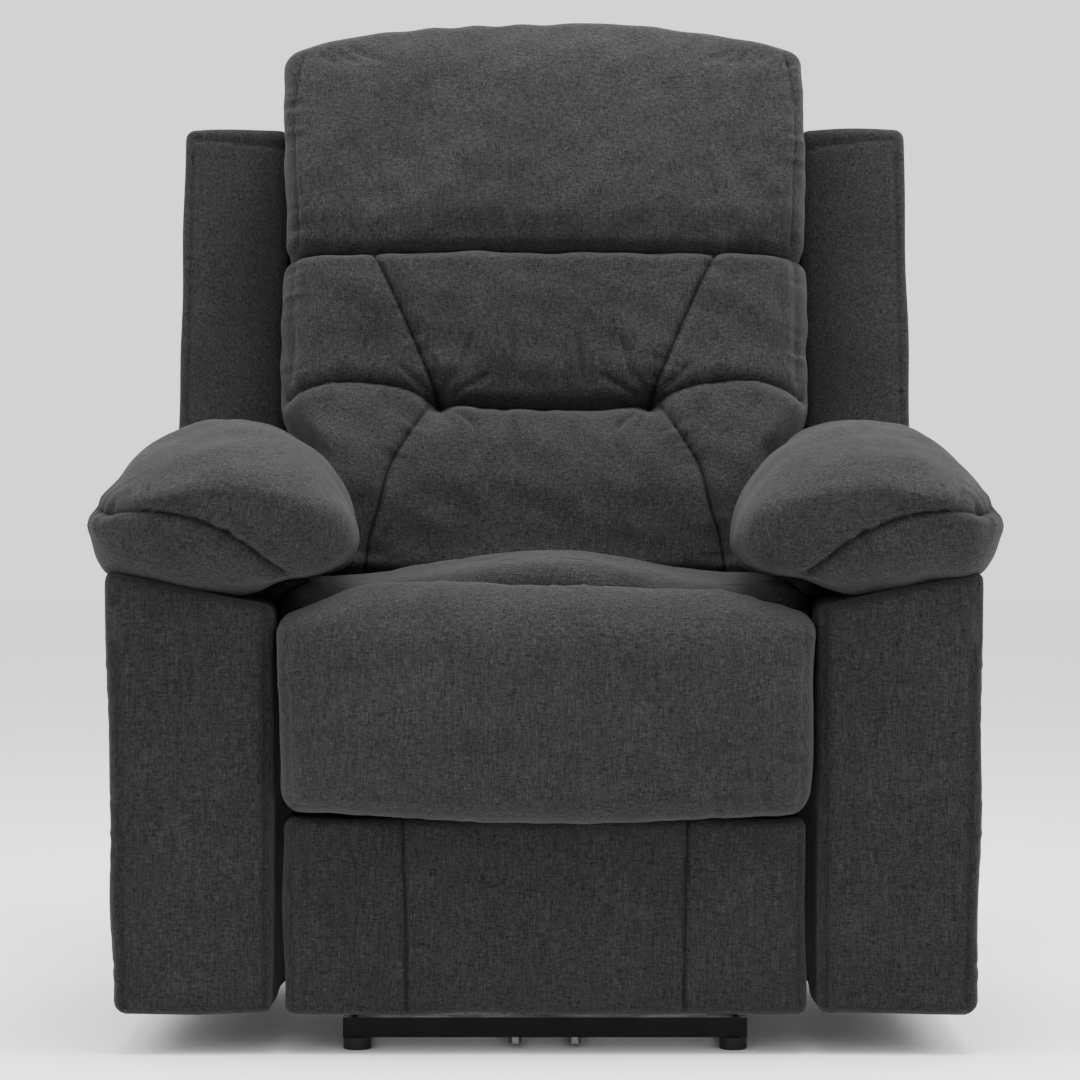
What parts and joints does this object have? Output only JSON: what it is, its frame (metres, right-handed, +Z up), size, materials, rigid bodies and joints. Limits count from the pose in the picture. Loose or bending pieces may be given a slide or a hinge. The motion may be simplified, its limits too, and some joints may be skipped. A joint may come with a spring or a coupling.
{
  "type": "recliner armchair",
  "caption": "Upholstered power lift recliner with pillow arms, winged tufted back and folding footrest on a narrow steel lift base.",
  "frame": {"origin": "on the floor, under the centre of the box around the whole chair at rest", "axes": "+Z up, the chair faces -Y, +X towards the sitter's left"},
  "size_m": [0.9, 0.9444, 1.1],
  "materials": {
    "charcoal_weave": "coarse woven cloth",
    "charcoal_panel": "coarse woven cloth, stretched",
    "black_steel": "satin black",
    "bright_steel": "bright zinc",
    "black_plastic": "matt black",
    "plywood": "raw",
    "covered_board": "plywood under black lining cloth",
    "zinc_plate": "zinc plated"
  },
  "bodies": {
    "base": {"front_bar": "black_steel", "rear_bar": "black_steel", "side_rail_left": "black_steel", "side_rail_right": "black_steel", "centre_rail_left": "black_steel", "centre_rail_right": "black_steel", "front_riser_left": "black_steel", "front_riser_right": "black_steel", "lift_motor_bracket": "black_steel", "centre_bolt_left": "bright_steel", "centre_bolt_right": "bright_steel", "foot_front_left": "black_plastic", "foot_front_right": "black_plastic", "foot_rear_left": "black_plastic", "foot_rear_right": "black_plastic"},
    "upper_lift_links": {"upper_lift_link_left": "black_steel", "upper_lift_link_right": "black_steel"},
    "lower_lift_links": {"lower_lift_link_left": "black_steel", "lower_lift_link_right": "black_steel"},
    "lift_motor": {"lift_motor": "black_plastic"},
    "lift_rod": {"lift_rod": "bright_steel"},
    "carriage": {"side_plate_left": "black_steel", "side_plate_right": "black_steel", "front_cross_tube": "black_steel", "rear_cross_tube": "black_steel", "lift_lug": "black_steel", "seat_rail_left": "plywood", "seat_rail_right": "plywood", "seat_deck": "covered_board", "seat_cushion": "charcoal_weave", "arm_case_left": "charcoal_panel", "arm_case_right": "charcoal_panel", "arm_pad_left": "charcoal_weave", "arm_pad_right": "charcoal_weave", "control_plate": "black_plastic"},
    "button_back": {"button_back": "zinc_plate"},
    "button_forward": {"button_forward": "zinc_plate"},
    "back": {"back_frame": "covered_board", "back_panel": "charcoal_panel", "wing_left": "charcoal_panel", "wing_right": "charcoal_panel", "lower_back_cushion": "charcoal_weave", "middle_back_cushion": "charcoal_weave", "headrest_cushion": "charcoal_weave", "back_bracket_left": "black_steel", "back_bracket_right": "black_steel"},
    "front_links": {"front_link_left": "zinc_plate", "front_link_right": "zinc_plate", "footrest_torque_tube": "zinc_plate", "recline_crank": "zinc_plate"},
    "outer_links": {"outer_link_left": "zinc_plate", "outer_link_right": "zinc_plate"},
    "footrest": {"footrest_bracket_left": "zinc_plate", "footrest_bracket_right": "zinc_plate", "footrest_board": "covered_board", "footrest_upper_pad": "charcoal_weave", "footrest_lower_pad": "charcoal_panel"},
    "recline_motor": {"recline_motor": "black_plastic"},
    "recline_rod": {"recline_rod": "bright_steel"}
  },
  "joints": [
    {"name": "lift", "type": "hinge", "parent": "base", "child": "carriage", "pos_m": [0, -0.51223, 0], "axis": [1, 0, 0], "range_deg": [0, 25]},
    {"name": "upper_lift_link_swing", "type": "hinge", "parent": "base", "child": "upper_lift_links", "pos_m": [0, -0.34223, 0.1], "axis": [1, 0, 0], "range_deg": [0, 40.84]},
    {"name": "lower_lift_link_swing", "type": "hinge", "parent": "base", "child": "lower_lift_links", "pos_m": [0, -0.34223, 0.055], "axis": [1, 0, 0], "range_deg": [0, 35.58]},
    {"name": "lift_motor_pitch", "type": "hinge", "parent": "base", "child": "lift_motor", "pos_m": [0, 0.15277, 0.065], "axis": [-1, 0, 0], "range_deg": [0, 8.32]},
    {"name": "lift_rod_extend", "type": "slide", "parent": "lift_motor", "child": "lift_rod", "axis": [0, -0.9679, 0.2514], "range_m": [0, 0.1243]},
    {"name": "back_recline", "type": "hinge", "parent": "carriage", "child": "back", "pos_m": [0, 0.22277, 0.33], "axis": [-1, 0, 0], "range_deg": [0, 38]},
    {"name": "front_link_swing", "type": "hinge", "parent": "carriage", "child": "front_links", "pos_m": [0, -0.30223, 0.3], "axis": [-1, 0, 0], "range_deg": [0, 90.1]},
    {"name": "outer_link_fold", "type": "hinge", "parent": "front_links", "child": "outer_links", "pos_m": [0, -0.31661, 0.13563], "axis": [1, 0, 0], "range_deg": [0, 152.1]},
    {"name": "footrest_tilt", "type": "hinge", "parent": "outer_links", "child": "footrest", "pos_m": [0, -0.3418, 0.24476], "axis": [-1, 0, 0], "range_deg": [0, 152.1]},
    {"name": "recline_motor_pitch", "type": "hinge", "parent": "carriage", "child": "recline_motor", "pos_m": [0, 0.13777, 0.2], "axis": [1, 0, 0], "range_deg": [0, 1.44]},
    {"name": "recline_rod_extend", "type": "slide", "parent": "recline_motor", "child": "recline_rod", "axis": [0, -0.9897, 0.1433], "range_m": [0, 0.0842]},
    {"name": "button_back_press", "type": "slide", "parent": "carriage", "child": "button_back", "axis": [1, 0, 0], "range_m": [0, 0.0025], "stiffness_N_per_m": 600, "springref_m": -0.001},
    {"name": "button_forward_press", "type": "slide", "parent": "carriage", "child": "button_forward", "axis": [1, 0, 0], "range_m": [0, 0.0025], "stiffness_N_per_m": 600, "springref_m": -0.001}
  ],
  "couplings": [
    {"joint": "upper_lift_link_swing", "follows": "lift", "ratio": 1.6333},
    {"joint": "lower_lift_link_swing", "follows": "lift", "ratio": 1.4226},
    {"joint": "lift_motor_pitch", "follows": "lift", "ratio": 0.3324},
    {"joint": "lift_rod_extend", "follows": "lift", "m_per_rad": 0.28471},
    {"joint": "front_link_swing", "follows": "back_recline", "ratio": 2.3684},
    {"joint": "outer_link_fold", "follows": "back_recline", "ratio": 4},
    {"joint": "footrest_tilt", "follows": "back_recline", "ratio": 4},
    {"joint": "recline_motor_pitch", "follows": "back_recline", "ratio": 0.03774},
    {"joint": "recline_rod_extend", "follows": "back_recline", "m_per_rad": 0.12685}
  ]
}
